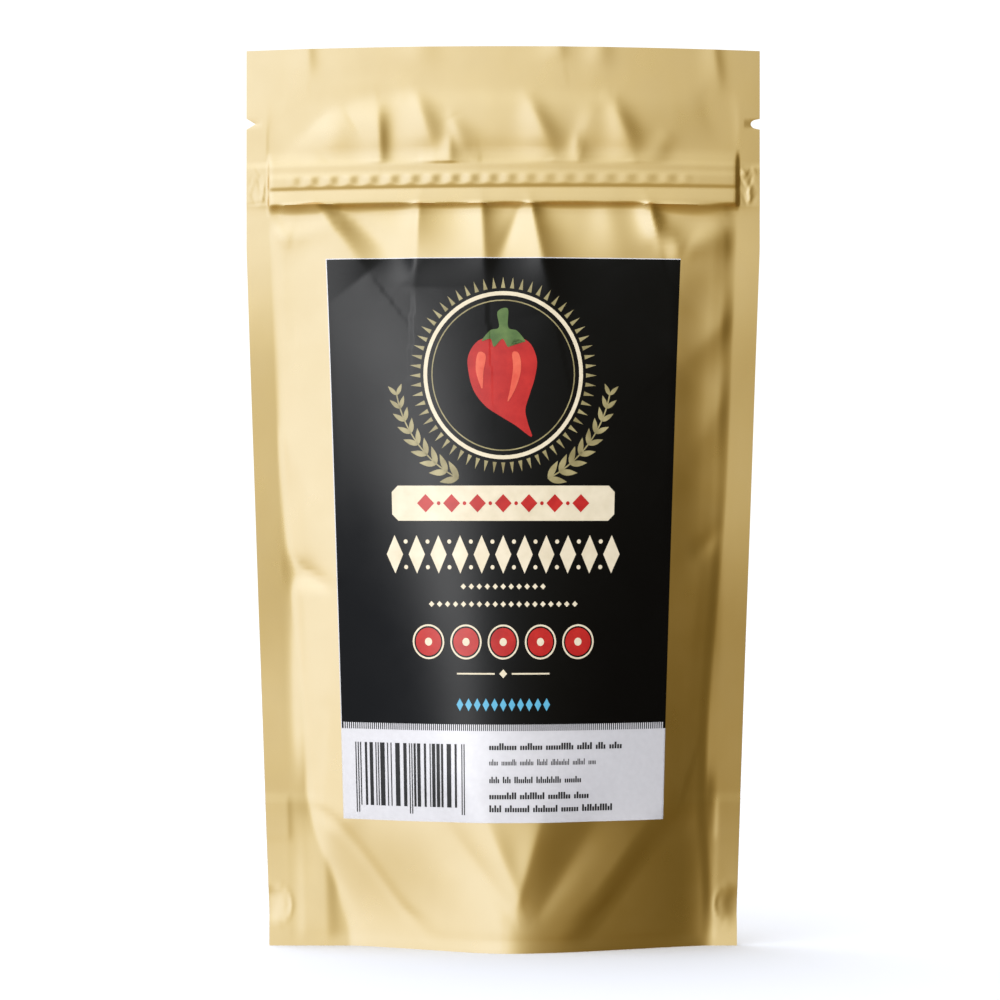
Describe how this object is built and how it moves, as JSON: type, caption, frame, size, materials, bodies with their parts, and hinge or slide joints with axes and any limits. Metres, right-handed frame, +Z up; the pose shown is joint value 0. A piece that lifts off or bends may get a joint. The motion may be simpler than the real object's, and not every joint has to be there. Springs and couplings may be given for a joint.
{
  "type": "stand-up foil pouch",
  "caption": "Filled stand-up foil pouch with side seals, folded bottom gusset, press-to-close zip, tear notches and a front label; it stands on its spread foot.",
  "frame": {"origin": "middle of the overall box at the level the pouch stands on", "axes": "+Z up, -Y out of the labelled front, +X to the right seen from the front"},
  "size_m": [0.13, 0.0467, 0.2274],
  "materials": {
    "gold_film": "satin metallised film",
    "zip_plastic": "clear extruded plastic",
    "label_stock": "satin printed label stock",
    "dried_chilli": "wrinkled dried skin"
  },
  "bodies": {
    "root": {"front_panel": "gold_film", "back_panel": "gold_film", "bottom_gusset": "gold_film", "zip_groove_strip": "zip_plastic", "zip_bead_strip": "zip_plastic", "front_label": "label_stock", "dried_pod_01": "dried_chilli", "dried_pod_02": "dried_chilli", "dried_pod_03": "dried_chilli", "dried_pod_04": "dried_chilli", "dried_pod_05": "dried_chilli", "dried_pod_06": "dried_chilli", "dried_pod_07": "dried_chilli", "dried_pod_08": "dried_chilli", "dried_pod_09": "dried_chilli", "dried_pod_10": "dried_chilli", "dried_pod_11": "dried_chilli", "dried_pod_12": "dried_chilli", "dried_pod_13": "dried_chilli", "dried_pod_14": "dried_chilli", "dried_pod_15": "dried_chilli", "dried_pod_16": "dried_chilli"}
  },
  "joints": []
}
